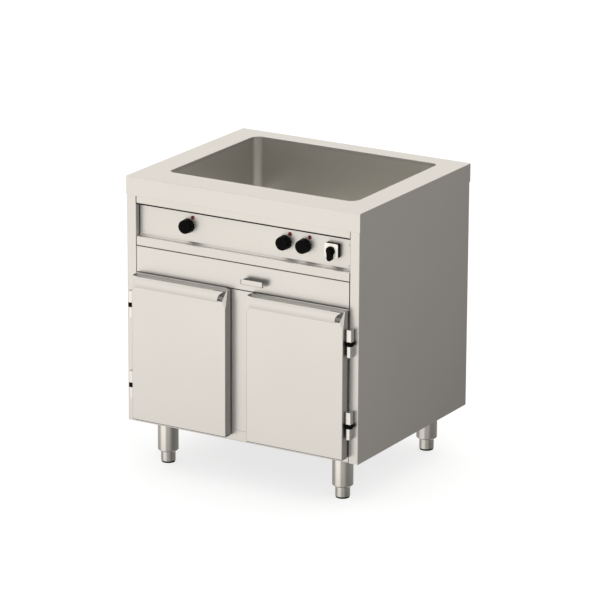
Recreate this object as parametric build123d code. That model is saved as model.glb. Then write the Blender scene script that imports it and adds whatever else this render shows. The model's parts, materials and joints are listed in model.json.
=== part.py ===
from build123d import *
import os
from math import cos, pi, sin, sqrt

# A floor-standing bain-marie: a water tank let into a worktop, a control recess,
# a shallow drawer and a heated cabinet with two doors, on four levelling legs.
# Millimetres, +Z up, +X to the right, front facing -Y. The origin is on the floor,
# in the middle of the object's outline.

# Overall sizes
width = 800.0                 # worktop, side to side
height = 898.5                # floor to worktop
leg_height = 138.0            # floor to the underside of the cabinet

# Sheet metal
sheet = 1.2                   # panels, doors and drawer
top_sheet = 1.2               # worktop and tank
inner_bend = 1.2              # inside radius of a fold
seam = 0.3                    # gap where two panels butt
skirt_gap = 0.3               # worktop skirt to the panels inside it
hole_gap = 0.1                # radial gap round a fixed piece in its hole

# Clearances of moving pieces
run_gap = 0.4                 # sliding and turning faces of two pieces
pin_gap = 0.05                # radial gap of a shaft in its bearing

# Worktop and tank
apron_height = 57.5           # worktop skirt
front_round = 4.0             # rounded front edge of the worktop
corner_round = 1.2            # other outer edges of the worktop
tank_length = 643.0           # inside, side to side
tank_width = 503.5            # inside, front to back
tank_front_margin = 104.0     # worktop front to the tank
tank_back_margin = 53.5       # tank to the worktop's back
tank_corner = 28.0            # inside radius of the tank's upright corners
tank_floor_round = 20.0       # inside radius round the tank's floor
tank_lip_round = 3.0          # worktop's rounded edge round the tank
collar_height = 12.0          # worktop turned down into the tank

# Front, from the worktop's skirt down
top_rail = 22.5               # fascia above the recess
recess_height = 102.0
recess_depth = 19.0
lower_rail = 27.5             # fascia below the recess
rail_return = 15.0            # fascia folded back under the lower rail
fascia_tuck = 20.0            # fascia carried up behind the skirt
drawer_front_height = 80.0
front_gap = 1.6               # gap round the drawer front
door_top_gap = 1.0            # rail above the doors to their tops
door_bottom_gap = 16.0        # underside of the cabinet to the doors

# Side panels
stile_width = 32.4            # front fold of a side panel
stile_return = 45.0           # stile folded back beside the opening
back_flange = 20.0            # side panel folded over the back

# Doors
door_inset = 35.0             # side of the cabinet to the door's edge
door_spacing = 71.0           # between the two doors
door_depth = 28.5
gasket_room = 3.5             # frame to the back of the door
gasket_width = 12.0
gasket_inset = 3.0            # door's edge to the gasket
landing = 18.0                # overlap of the door on the frame
pan_plug = 3.0                # middle of the inner pan, raised into the cabinet
pan_plug_gap = 4.0            # gasket to the raised middle
pan_plug_round = 10.0
grip_height = 36.5            # crease below the lip to the top of the door
grip_depth = 25.0             # door's face to the back of the finger channel
lip_bulge = 3.0               # lip in front of the door's face
lip_drop = 2.0                # top of the door to the lip's edge
lip_foot = 27.0               # door's right edge to the foot of the lip's free end
lip_tip = 9.0                 # door's right edge to the tip of that end
lip_tip_height = 2.0
lip_end_bow = 5.5             # hollow of that end
slot_lift = 3.5               # crease to the opening beside that end
strip_foot = 12.0             # corner strip beside the opening, at its foot
strip_top = 2.5               # corner strip at the lip's edge
corner_run = 27.0             # width of a leaning top corner
corner_drop = 58.0            # height of a leaning top corner
left_lean = 7.0               # left corner, leaning back
right_lean = 11.0             # right corner, leaning back

# Hinges
hinge_offset = 12.0           # door's edge to the hinge axis
hinge_standoff = 12.0         # frame to the hinge axis
hinge_low_inset = 62.5        # bottom of the door to the lower hinge
hinge_high_inset = 54.5       # top of the door to the upper hinge
door_leaf_height = 36.5
bush_height = 13.0
frame_leaf_height = 33.5
door_leaf_reach = 9.0         # hinge axis to the sides of the door's leaf
frame_leaf_reach = 6.7        # hinge axis to the sides of the stile's leaf
leaf_front = 8.0              # hinge axis to the front of the leaves
leaf_round = 2.5
pin_radius = 4.0
pin_depth = 25.0              # pin in each leaf
bush_radius = 10.8

# Drawer
drawer_front_depth = 18.0
drawer_flange = 16.0          # drawer front folded in behind
tray_length = 470.0
tray_height = 62.0
tray_lift = 6.0               # drawer front's bottom edge to the tray's
tray_gap = 1.0                # tray's side to the runner
runner_depth = 12.0
runner_height = 36.0
runner_clear = 4.0            # drawer front's back to the runner
pull_width = 75.5
pull_reach = 22.0
pull_height = 16.5
pull_offset = 48.2            # middle of the drawer to the middle of the pull
pull_lift = 24.3              # drawer front's bottom edge to the pull
pull_corner = 2.5

# Controls
left_knob_inset = 170.4       # left stile to the left knob
right_knob_insets = (228.2, 161.7)  # right stile to the two right knobs
knob_lift = 53.5              # ledge to the knobs' axis
knob_radius = 21.8
knob_depth = 23.0
knob_taper = 1.5              # radius lost towards the front
knob_flutes = 12
flute_radius = 4.0
flute_bite = 1.4              # depth of a flute
knob_round = 1.5
knob_mark = (2.0, 13.0, 1.0)  # pointer: width, length, height
shaft_radius = 3.0
shaft_engage = 14.0           # shaft in the thermostat
shaft_hole = 5.0              # fascia hole round a shaft
thermostat_size = (38.0, 34.0, 42.0)
lamp_offset = (16.0, 26.6)    # knob's axis to the lamp's
lamp_radius = 5.0
lamp_bezel = 6.0
lamp_bezel_depth = 1.5
lamp_dome = 3.5
lamp_stem_radius = 4.4
lamp_stem = 26.0
switch_inset = 65.0           # right stile to the switch
switch_lift = 56.2            # ledge to the switch's axis
switch_size = (44.0, 14.0, 42.0)
switch_plate_depth = 1.8
switch_corner = 3.0
switch_body_size = (42.0, 45.0, 40.0)
handle_boss_radius = 13.5
handle_boss_depth = 7.0
handle_length = 29.0          # axis to the lever's tip
handle_width = 16.0
handle_depth = 14.0
handle_round = 2.0
handle_shaft_radius = 3.5
handle_shaft_engage = 20.0

# Cabinet
wall_depth = 36.0             # back panel to the liner
mullion_depth = 34.0
sill_return = 20.0
shelf_fold = 25.0
shelf_side_gap = 2.0
shelf_front_gap = 12.0        # mullion to the shelf
shelf_back_gap = 14.0         # shelf to the drain pipe
bracket_leg = 18.0
heater_cover_height = 42.0
heater_cover_length = 420.0
heater_cover_depth = 230.0
heater_cover_gap = 12.0       # liner to the cover
slot_length = 60.0
slot_width = 6.0
slot_columns = 5
slot_rows = 6
heater_radius = 4.2
heater_lift = 22.0            # cabinet floor to the heater's axis
heater_spacing = 70.0         # between the heater's runs
heater_run = 190.0            # length of the heater's loops
heater_tail = 14.0            # heater ends behind the liner

# Tank heaters, with the shield below them
shield_gap = 2.0              # drawer bay to the shield
shield_fold = 12.0
heater_pad = 8.0
heater_pad_gap = 6.0          # shield to the heater pads
heater_pad_margin = 40.0      # tank's side to the pads

# Drain
drain_inset = 81.0            # tank's left wall to the drain
drain_back_margin = 55.0      # tank's back wall to the drain
drain_flange_radius = 30.0
drain_flange = 3.0
strainer_depth = 1.2
strainer_hole = 1.3           # radius of its holes
strainer_pitch = 3.6          # between its rings of holes
strainer_rings = 2
strainer_spokes = 6
drain_tail_radius = 13.0
drain_tail = 34.0
drain_nut_radius = 21.0
drain_nut = 9.0
pipe_radius = 11.0
pipe_wall = 1.0
pipe_insert = 14.0            # pipe pushed into its socket
pipe_gap = 3.0                # radial gap where the pipe passes a panel
valve_drop = 60.0             # cabinet ceiling to the valve
valve_radius = 19.0
valve_end_radius = 15.0
valve_half = 30.0
valve_stem_radius = 4.0
valve_stem_seat = 10.0        # stem in the valve
lever_length = 95.0
lever_width = 16.0
lever_depth = 4.0
outlet_drop = 38.0            # underside of the cabinet to the outlet
outlet_radius = 12.5          # hose end of the outlet
outlet_length = 30.0

# Supply
gland_inset = 158.0           # right side of the cabinet to the gland
gland_back = 95.0             # back of the cabinet to the gland
gland_bore = 7.0
gland_thread_radius = 12.5
gland_thread = 12.0
gland_hex_radius = 17.0
gland_hex = 11.0
gland_cap_radius = 14.0
gland_cap = 17.0
terminal_size = (70.0, 24.0, 40.0)
terminal_lift = 120.0         # underside of the cabinet to the terminal block

# Legs
leg_inset_x = 93.5            # side of the cabinet to the leg's axis
leg_inset_y = 75.0            # front or back of the cabinet to the leg's axis
sleeve_radius = 31.8
sleeve_wall = 1.8
sleeve_plate = 5.0
sleeve_chamfer = 4.0
sleeve_bush = 26.0            # length of the guide in the sleeve's mouth
foot_radius = 22.3
foot_reach = 37.0             # floor to the sleeve
foot_engage = 56.0            # foot in the sleeve
foot_wall = 2.5
foot_round = 2.4
pad_depth = 3.5
pad_radius = 20.5
stud_radius = 5.0
stud_length = 14.0
nut_radius = 9.5
nut_depth = 8.0

# Levels and planes that follow from the sizes above
body_depth = tank_front_margin + tank_width + tank_back_margin
overhang = top_sheet + skirt_gap
door_proud = gasket_room + door_depth + lip_bulge - overhang
y_back = (body_depth + door_proud) / 2
y_front = y_back - body_depth
y_frame = y_front + overhang
y_rear = y_back - overhang
y_fascia = y_frame + recess_depth
y_liner = y_rear - 2 * sheet - wall_depth
y_door_back = y_frame - gasket_room
y_door_front = y_door_back - door_depth
y_tank = y_front + tank_front_margin + tank_width / 2
y_drain = y_tank + tank_width / 2 - drain_back_margin
x_side = width / 2 - overhang
x_stile = x_side - stile_width
x_door = x_side - door_inset
x_liner = x_door - landing
x_mullion = door_spacing / 2 + landing
x_tongue = x_mullion - inner_bend - sheet
x_tray = x_stile - runner_depth - tray_gap
knob_x = (left_knob_inset - x_stile, *[x_stile - inset for inset in right_knob_insets])
switch_x = x_stile - switch_inset
drain_x = drain_inset - tank_length / 2
gland_x = x_side - gland_inset
z_apron = height - apron_height
z_recess = z_apron - top_rail
z_ledge = z_recess - recess_height
z_lower_rail = z_ledge - lower_rail
z_drawer_top = z_lower_rail - front_gap
z_drawer = z_drawer_top - drawer_front_height
z_bay = z_drawer - front_gap
z_door_top = z_bay - door_top_gap
z_door = leg_height + door_bottom_gap
z_crease = z_door_top - grip_height
z_lip = z_door_top - lip_drop
z_floor = z_door + landing
z_ceiling = z_door_top - landing
z_shelf = (z_floor + z_ceiling) / 2
z_shield = z_lower_rail + shield_gap
z_tank_under = z_shield + sheet + heater_pad_gap + heater_pad
z_tank_floor = z_tank_under + top_sheet
z_knob = z_ledge + knob_lift
z_switch = z_ledge + switch_lift
z_tray = z_drawer + tray_lift
z_runner = z_tray + (tray_height - runner_height) / 2
z_valve = z_ceiling - valve_drop
leg_spots = [(x, y) for x in (leg_inset_x - x_side, x_side - leg_inset_x)
             for y in (y_frame + leg_inset_y, y_rear - leg_inset_y)]
hinge_axis = (x_door + hinge_offset, y_frame - hinge_standoff)
hinge_height = frame_leaf_height + bush_height + door_leaf_height
hinge_feet = (z_door + hinge_low_inset, z_door_top - hinge_high_inset - hinge_height)


def block(x_span, y_span, z_span):
    """Box between two values on each axis."""
    spans = (x_span, y_span, z_span)
    size = [high - low for low, high in spans]
    middle = [(high + low) / 2 for low, high in spans]
    return Pos(*middle) * Box(*size)


def along_x(face, span):
    """Prism of a face drawn in Y and Z."""
    return extrude(Plane.YZ.offset(span[0]) * face, amount=span[1] - span[0])


def along_y(face, span):
    """Prism of a face drawn in X and Z."""
    return extrude(Plane.XZ.offset(-span[1]) * face, amount=span[1] - span[0])


def along_z(face, span):
    """Prism of a face drawn in X and Y."""
    return extrude(Plane.XY.offset(span[0]) * face, amount=span[1] - span[0])


def folded(points, side, thickness=sheet):
    """Section of a folded sheet: its visible line, with the metal on one side."""
    radii = []
    for before, corner, after in zip(points, points[1:], points[2:]):
        first = (corner[0] - before[0], corner[1] - before[1])
        second = (after[0] - corner[0], after[1] - corner[1])
        turns_left = first[0] * second[1] > first[1] * second[0]
        metal_inside = turns_left == (side == Side.LEFT)
        radii.append(inner_bend + thickness if metal_inside else inner_bend)
    line = FilletPolyline(*points, radius=radii)
    return make_face(line.offset_2d(thickness, kind=Kind.ARC, side=side, closed=True).edges())


def outline(points):
    """Face inside straight lines through the points."""
    return make_face(Polyline(*points, close=True))


def rod(radius, span, axis, spot):
    """Cylinder along Y or Z at a spot on the other two axes."""
    middle = (span[0] + span[1]) / 2
    length = span[1] - span[0]
    if axis == "y":
        return Pos(spot[0], middle, spot[1]) * Rot(90, 0, 0) * Cylinder(radius, length)
    return Pos(spot[0], spot[1], middle) * Cylinder(radius, length)


def hexagon(radius, span, spot):
    """Hexagonal prism along Z, radius over its corners."""
    return along_z(Pos(*spot) * RegularPolygon(radius, 6), span)


def turned(points):
    """Solid turned about Z from radius and height pairs."""
    return revolve(Plane.XZ * outline(points), Axis.Z)


def mirrored(part):
    return mirror(part, about=Plane.YZ)


def save(name, *parts):
    solids = [solid for part in parts for solid in part.solids()]
    export_step(Compound(solids) if len(solids) > 1 else solids[0], f"parts/{name}.step")


def tank_section(grow):
    """Plan of the tank, grown outwards."""
    rounded = RectangleRounded(tank_length + 2 * grow, tank_width + 2 * grow, tank_corner + grow)
    return Pos(0, y_tank) * rounded


def make_worktop():
    """Folded top with a rounded front edge and a collar turned down into the tank."""
    top = block((-width / 2, width / 2), (y_front, y_back), (z_apron, height))
    top = fillet(top.edges().filter_by(Axis.X).group_by(Axis.Z)[-1].sort_by(Axis.Y)[0], front_round)
    ends = top.faces().filter_by(Axis.X).edges()
    upper_edges = [edge for edge in ends if edge.center().Z > z_apron]
    upper_edges.append(top.edges().filter_by(Axis.X).group_by(Axis.Z)[-1].sort_by(Axis.Y)[-1])
    top = fillet(upper_edges, corner_round)
    hollow = block((top_sheet - width / 2, width / 2 - top_sheet),
                   (y_front + top_sheet, y_back - top_sheet), (z_apron, height - top_sheet))
    edge = hollow.edges().filter_by(Axis.X).group_by(Axis.Z)[-1].sort_by(Axis.Y)[0]
    top -= fillet(edge, front_round - top_sheet)
    top += along_z(tank_section(top_sheet), (height - collar_height, height))
    top -= along_z(tank_section(0), (height - collar_height, height))
    rim = top.faces().filter_by(Axis.Z).sort_by(Axis.Z)[-1].inner_wires()[0]
    return fillet(rim.edges(), tank_lip_round)


def make_tank():
    """Open tank with rounded corners, welded to the worktop's collar."""
    rim = height - collar_height
    outside = along_z(tank_section(top_sheet), (z_tank_under, rim))
    outside = fillet(outside.edges().group_by(Axis.Z)[0], tank_floor_round + top_sheet)
    inside = along_z(tank_section(0), (z_tank_floor, rim))
    inside = fillet(inside.edges().group_by(Axis.Z)[0], tank_floor_round)
    hole = rod(drain_tail_radius + hole_gap, (z_tank_under, z_tank_floor), "z", (drain_x, y_drain))
    return outside - inside - hole


def make_side_panel():
    """Right side: front stile with its return, side, and flange over the back."""
    section = folded([(x_stile, y_frame + stile_return), (x_stile, y_frame), (x_side, y_frame),
                      (x_side, y_rear), (x_side - back_flange, y_rear)], Side.LEFT)
    panel = along_z(section, (leg_height, height - top_sheet))
    return panel - block((x_stile, x_side), (y_frame, y_frame + front_round),
                         (height - front_round, height))


def make_back_panel():
    reach = x_side - sheet - inner_bend - seam
    return block((-reach, reach), (y_rear - 2 * sheet, y_rear - sheet),
                 (leg_height, height - top_sheet))


def make_base_panel():
    """Underside of the cabinet, drilled for the legs, the drain and the supply."""
    reach = x_side - sheet - seam
    fold = sheet + inner_bend + seam
    span = (leg_height, leg_height + sheet)
    panel = block((-reach, reach), (y_frame + fold, y_rear - 2 * sheet), span)
    panel -= block((-x_stile, x_stile), (y_frame, y_frame + sill_return + seam), span)
    for x_span in ((x_stile - seam, x_stile + fold), (-x_stile - fold, seam - x_stile)):
        panel -= block(x_span, (y_frame, y_frame + stile_return + seam), span)
    for spot in leg_spots:
        panel -= rod(stud_radius + hole_gap, span, "z", spot)
    panel -= rod(pipe_radius + pipe_gap, span, "z", (drain_x, y_drain))
    return panel - rod(gland_thread_radius + hole_gap, span, "z", (gland_x, y_rear - gland_back))


def make_floor_panel():
    """Sill, cabinet floor and a foot on the base panel behind."""
    section = folded([(y_frame + sill_return, leg_height), (y_frame, leg_height),
                      (y_frame, z_floor), (y_liner + sheet, z_floor),
                      (y_liner + sheet, leg_height + sheet)], Side.RIGHT)
    reach = x_stile - seam
    panel = along_x(section, (-reach, reach))
    return panel - rod(pipe_radius + pipe_gap, (z_floor - sheet, z_floor), "z", (drain_x, y_drain))


def make_ceiling_panel():
    """Rail over the doors and the ceiling of the cabinet."""
    section = folded([(y_frame + sill_return, z_bay), (y_frame, z_bay), (y_frame, z_ceiling),
                      (y_liner + sheet, z_ceiling), (y_liner + sheet, z_bay)], Side.LEFT)
    reach = x_stile - seam
    panel = along_x(section, (-reach, reach))
    panel -= block((-x_tongue - seam, x_tongue + seam), (y_frame, y_frame + sheet + inner_bend),
                   (z_ceiling, z_bay))
    span = (z_ceiling, z_ceiling + sheet)
    return panel - rod(pipe_radius + pipe_gap, span, "z", (drain_x, y_drain))


def make_mullion():
    """Post between the doors, its front run up through the rail over them."""
    back = y_frame + mullion_depth
    section = folded([(-x_mullion, back), (-x_mullion, y_frame), (x_mullion, y_frame),
                      (x_mullion, back)], Side.LEFT)
    tongue = block((-x_tongue, x_tongue), (y_frame, y_frame + sheet), (z_ceiling, z_bay))
    return along_z(section, (z_floor, z_ceiling)) + tongue


def heater_ends():
    return (-1.5 * heater_spacing, 1.5 * heater_spacing)


def make_liner():
    """Sides and back of the cabinet, with flanges that the door gaskets meet."""
    edge = x_stile - seam
    section = folded([(edge, y_frame), (x_liner, y_frame), (x_liner, y_liner),
                      (-x_liner, y_liner), (-x_liner, y_frame), (-edge, y_frame)], Side.RIGHT)
    liner = along_z(section, (z_floor, z_ceiling))
    for x in heater_ends():
        liner -= rod(heater_radius + hole_gap, (y_liner, y_liner + sheet), "y",
                     (x, z_floor + heater_lift))
    return liner


def shelf_span():
    return (y_frame + mullion_depth + shelf_front_gap, y_drain - pipe_radius - shelf_back_gap)


def make_shelf():
    front, back = shelf_span()
    section = folded([(front, z_shelf - shelf_fold), (front, z_shelf), (back, z_shelf),
                      (back, z_shelf - shelf_fold)], Side.RIGHT)
    reach = x_liner - shelf_side_gap
    return along_x(section, (-reach, reach))


def make_shelf_bracket():
    """Right-hand angle on the liner, under the shelf."""
    front, back = shelf_span()
    top = z_shelf - sheet
    section = folded([(x_liner, top - bracket_leg), (x_liner, top), (x_liner - bracket_leg, top)],
                     Side.LEFT)
    inset = sheet + inner_bend + seam
    return along_y(section, (front + inset, back - inset))


def make_heater_cover():
    """Slotted cover standing on the cabinet floor over the heater."""
    back = y_liner - heater_cover_gap
    front = back - heater_cover_depth
    top = z_floor + heater_cover_height
    section = folded([(front, z_floor), (front, top), (back, top), (back, z_floor)], Side.RIGHT)
    cover = along_x(section, (-heater_cover_length / 2, heater_cover_length / 2))
    column_pitch = heater_cover_length / slot_columns
    row_pitch = heater_cover_depth / slot_rows
    slot = along_z(SlotOverall(slot_length, slot_width), (top - sheet, top))
    for column in range(slot_columns):
        x = (column - (slot_columns - 1) / 2) * column_pitch
        for row in range(slot_rows):
            cover -= Pos(x, front + (row + 0.5) * row_pitch, 0) * slot
    for x in heater_ends():
        cover -= rod(heater_radius + hole_gap, (back - sheet, back), "y",
                     (x, z_floor + heater_lift))
    return cover


def make_cabinet_heater():
    """Tubular element of four runs, its ends through the liner's back."""
    left, right = heater_ends()
    back = y_liner + heater_tail
    near = y_liner - heater_cover_gap - 2 * heater_spacing / 3
    far = y_liner - heater_cover_gap - heater_run
    middle = heater_spacing / 2
    route = [(left, back), (left, far), (-middle, far), (-middle, near), (middle, near),
             (middle, far), (right, far), (right, back)]
    line = Pos(0, 0, z_floor + heater_lift) * FilletPolyline(*route, radius=heater_spacing / 3)
    start = Plane(origin=(left, back, z_floor + heater_lift), z_dir=(0, -1, 0))
    return sweep(start * Circle(heater_radius), path=line)


def make_fascia():
    """Top rail, recess, ledge and lower rail folded from one sheet."""
    section = folded([(y_frame, z_apron + fascia_tuck), (y_frame, z_recess), (y_fascia, z_recess),
                      (y_fascia, z_ledge), (y_frame, z_ledge), (y_frame, z_lower_rail),
                      (y_frame + rail_return, z_lower_rail)], Side.LEFT)
    reach = x_stile - seam
    fascia = along_x(section, (-reach, reach))
    span = (y_fascia, y_fascia + sheet)
    for x in knob_x:
        fascia -= rod(shaft_hole, span, "y", (x, z_knob))
        lamp = (x + lamp_offset[0], z_knob + lamp_offset[1])
        fascia -= rod(lamp_stem_radius + hole_gap, span, "y", lamp)
    return fascia - rod(shaft_hole, span, "y", (switch_x, z_switch))


def make_shield():
    """Roof of the drawer bay, hung between the side panels."""
    reach = x_side - sheet
    top = z_shield + shield_fold
    section = folded([(-reach, top), (-reach, z_shield), (reach, z_shield), (reach, top)], Side.LEFT)
    shield = along_y(section, (y_frame + stile_return + seam, y_rear - 2 * sheet))
    span = (z_shield, z_shield + sheet)
    return shield - rod(drain_tail_radius + pipe_gap, span, "z", (drain_x, y_drain))


def make_tank_heaters():
    """Two flat heaters under the tank, one for each half."""
    front = y_tank - tank_width / 2 + heater_pad_margin
    back = y_drain - drain_nut_radius - pipe_gap
    reach = tank_length / 2 - heater_pad_margin
    gap = heater_pad_margin / 2
    span = (z_tank_under - heater_pad, z_tank_under)
    right = block((gap, reach), (front, back), span)
    return right, mirrored(right)


def make_thermostat(x):
    """Body behind the fascia with a bore for the knob's shaft."""
    wide, deep, tall = thermostat_size
    front = y_fascia + sheet
    body = block((x - wide / 2, x + wide / 2), (front, front + deep),
                 (z_knob - tall / 2, z_knob + tall / 2))
    bore = (front, front + shaft_engage + run_gap)
    return body - rod(shaft_radius + pin_gap, bore, "y", (x, z_knob))


def make_lamp(x):
    """Pilot lamp: domed lens with a bezel, stem through the fascia."""
    dome_start = lamp_bezel_depth
    ball = (lamp_radius**2 + lamp_dome**2) / (2 * lamp_dome)
    profile = [Polyline((0, -lamp_stem), (lamp_stem_radius, -lamp_stem), (lamp_stem_radius, 0),
                        (lamp_bezel, 0), (lamp_bezel, dome_start), (lamp_radius, dome_start)),
               RadiusArc((lamp_radius, dome_start), (0, dome_start + lamp_dome), -ball),
               Line((0, dome_start + lamp_dome), (0, -lamp_stem))]
    lamp = revolve(Plane.XZ * make_face(profile), Axis.Z)
    spot = (x + lamp_offset[0], y_fascia, z_knob + lamp_offset[1])
    return Pos(*spot) * Rot(90, 0, 0) * lamp


def make_knob(x):
    """Fluted knob with a raised pointer, on the shaft that enters its thermostat."""
    base = run_gap
    tip = base + knob_depth
    knob = turned([(0, base), (knob_radius, base), (knob_radius - knob_taper, tip), (0, tip)])
    knob = fillet(knob.edges().group_by(Axis.Z)[-1], knob_round)
    flute_ring = knob_radius + flute_radius - flute_bite
    for step in range(knob_flutes):
        angle = 2 * pi * step / knob_flutes
        spot = (flute_ring * cos(angle), flute_ring * sin(angle))
        knob -= rod(flute_radius, (base, tip), "z", spot)
    wide, long, tall = knob_mark
    mark = block((-wide / 2, wide / 2), (knob_radius - knob_taper - knob_round - flute_bite - long,
                                         knob_radius - knob_taper - knob_round - flute_bite),
                 (tip, tip + tall))
    shaft = rod(shaft_radius, (-sheet - shaft_engage, base), "z", (0, 0))
    return Pos(x, y_fascia, z_knob) * Rot(90, 0, 0) * (knob + mark + shaft)


def switch_block(size, y_span):
    """Block with rounded corners round the switch's axis."""
    face = Pos(switch_x, z_switch) * RectangleRounded(size[0], size[2], switch_corner)
    return along_y(face, y_span)


def switch_front():
    return y_fascia - switch_size[1]


def make_switch_base():
    body = switch_block(switch_size, (switch_front(), y_fascia))
    return body - rod(handle_shaft_radius + pin_gap, (switch_front(), y_fascia), "y",
                      (switch_x, z_switch))


def make_switch_plate():
    span = (switch_front() - switch_plate_depth, switch_front())
    plate = switch_block(switch_size, span)
    return plate - rod(handle_shaft_radius + pin_gap, span, "y", (switch_x, z_switch))


def make_switch_body():
    front = y_fascia + sheet
    body = switch_block(switch_body_size, (front, front + switch_body_size[1]))
    bore = (front, front + handle_shaft_engage + run_gap)
    return body - rod(handle_shaft_radius + pin_gap, bore, "y", (switch_x, z_switch))


def make_switch_handle():
    """Round boss with a lever that points down, on the switch's shaft."""
    back = switch_front() - switch_plate_depth - run_gap
    boss = rod(handle_boss_radius, (back - handle_boss_depth, back), "y", (switch_x, z_switch))
    reach = handle_length - handle_width / 2
    lever = along_y(Pos(switch_x, z_switch - reach / 2) * Rot(0, 0, 90)
                    * SlotCenterToCenter(reach, handle_width), (back - handle_depth, back))
    handle = boss + lever
    front = handle.faces().filter_by(Axis.Y).sort_by(Axis.Y)[0]
    handle = fillet(front.edges(), handle_round)
    shaft_end = y_fascia + sheet + handle_shaft_engage
    return handle + rod(handle_shaft_radius, (back, shaft_end), "y", (switch_x, z_switch))


def make_drawer_front():
    """Folded front with closed ends."""
    back = y_frame + drawer_front_depth
    section = folded([(back, z_drawer + drawer_flange), (back, z_drawer), (y_frame, z_drawer),
                      (y_frame, z_drawer_top), (back, z_drawer_top),
                      (back, z_drawer_top - drawer_flange)], Side.RIGHT)
    reach = x_stile - front_gap
    front = along_x(section, (-reach, reach))
    cap = block((reach - sheet, reach), (y_frame, back), (z_drawer, z_drawer_top))
    cap = fillet(cap.edges().filter_by(Axis.X), inner_bend + sheet)
    return front + cap + mirrored(cap)


def make_drawer_pull():
    """Tab standing off the drawer front, open at the top for the fingers."""
    bottom = z_drawer + pull_lift
    front = y_frame - pull_reach
    section = folded([(y_frame, bottom), (front, bottom), (front, bottom + pull_height)], Side.RIGHT)
    pull = along_x(section, (pull_offset - pull_width / 2, pull_offset + pull_width / 2))
    corners = pull.edges().filter_by(Axis.Y).group_by(Axis.Z)[-1]
    return fillet(corners, pull_corner)


def make_drawer_tray():
    start = y_frame + drawer_front_depth
    outside = block((-x_tray, x_tray), (start, start + tray_length), (z_tray, z_tray + tray_height))
    inside = block((sheet - x_tray, x_tray - sheet), (start + sheet, start + tray_length - sheet),
                   (z_tray + sheet, z_tray + tray_height))
    return outside - inside


def make_drawer_slide():
    """Right-hand channel on the tray's side, running in the fixed runner."""
    low = z_runner + sheet + run_gap
    high = z_runner + runner_height - sheet - run_gap
    tip = x_stile - sheet - run_gap
    section = folded([(tip, low), (x_tray, low), (x_tray, high), (tip, high)], Side.RIGHT)
    start = y_frame + drawer_front_depth + runner_clear
    return along_y(section, (start, y_frame + drawer_front_depth + tray_length))


def make_drawer_runner():
    """Right-hand channel between the stile's return and the back panel."""
    low = z_runner
    high = z_runner + runner_height
    tip = x_stile - runner_depth
    section = folded([(tip, high), (x_stile, high), (x_stile, low), (tip, low)], Side.RIGHT)
    start = y_frame + drawer_front_depth + runner_clear
    return along_y(section, (start, y_rear - 2 * sheet))


def leaning_corner(part, side, depth):
    """Cut a top corner of the door back to a leaning plane, at a depth behind its face."""
    edge, lean = (door_spacing / 2, left_lean) if side < 0 else (x_door, right_lean)
    run = Vector(-side * corner_run, 0, corner_drop)
    normal = run.cross(Vector(0, lean, corner_drop)).normalized()
    if normal.Y > 0:
        normal = -normal
    corner = Vector(edge, y_door_front, z_door_top - corner_drop) - normal * depth
    plane = Plane(origin=corner, z_dir=normal)
    return split(part, bisect_by=plane, keep=Keep.BOTTOM)


def lip_outline(inset):
    """Front of the lip: left end on the fold of its corner, right end free and hollowed."""
    foot = door_spacing / 2 + corner_run * (1 - grip_height / corner_drop) + inset
    head = door_spacing / 2 + corner_run * (1 - lip_drop / corner_drop) + inset
    heel = Vector(x_door - lip_foot, z_crease + slot_lift)
    tip = Vector(x_door - lip_tip, z_lip - lip_tip_height)
    along = (tip - heel).normalized()
    hollow = (heel + tip) / 2 + Vector(-along.Y, along.X) * lip_end_bow
    return make_face([Polyline(heel, (heel.X, z_crease), (foot, z_crease), (head, z_lip),
                               (tip.X, z_lip), tip), ThreePointArc(tip, hollow, heel)])


def lip_segment(depth):
    """Space between the lip, at a depth behind its face, and the finger channel."""
    back = y_door_front + 2 * sheet
    bow = ThreePointArc((y_door_front + depth, z_crease),
                        (y_door_front - lip_bulge + depth, (z_crease + z_lip) / 2),
                        (y_door_front + depth, z_lip))
    section = make_face([bow, Polyline((y_door_front + depth, z_lip), (back, z_lip),
                                       (back, z_crease), (y_door_front + depth, z_crease))])
    segment = along_x(section, (door_spacing / 2, x_door))
    return segment & along_y(lip_outline(depth), (y_door_front - lip_bulge, back))


def lip_openings():
    """Gaps in the door's front: above the lip's edge, and beside its free end."""
    span = (y_door_front - lip_bulge, y_door_front + right_lean + 2 * sheet)
    left, right = door_spacing / 2 + strip_top, x_door - strip_top
    near = x_door - lip_foot - lip_end_bow
    sill = z_crease + slot_lift
    beside = outline([(near, sill), (x_door - strip_foot, sill), (right, z_lip), (near, z_lip)])
    return block((left, right), span, (z_lip, z_door_top)) + along_y(beside, span)


def make_door_skin():
    """Outer sheet of the right door, with a finger channel behind a pressed lip."""
    left, right = door_spacing / 2, x_door
    channel_back = y_door_front + grip_depth
    skin = block((left, right), (y_door_front, y_door_back), (z_door, z_door_top))
    front_edges = skin.edges().group_by(Axis.Y)[0]
    skin = fillet(front_edges.sort_by(Axis.Z)[:3], inner_bend + sheet)
    channel = block((left + sheet, right - sheet), (y_door_front + sheet, channel_back),
                    (z_crease, z_door_top))
    inside = block((left + sheet, right - sheet), (y_door_front + sheet, y_door_back),
                   (z_door + sheet, z_crease - sheet))
    for side in (-1, 1):
        skin = leaning_corner(skin, side, 0)
        channel = leaning_corner(channel, side, sheet)
        inside = leaning_corner(inside, side, sheet)
    skin = skin - lip_openings() + lip_segment(0)
    behind = block((left + sheet, right - sheet), (channel_back + sheet, y_door_back),
                   (z_door + sheet, z_door_top - sheet))
    skin -= channel + lip_segment(sheet)
    return skin - inside - behind


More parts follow.
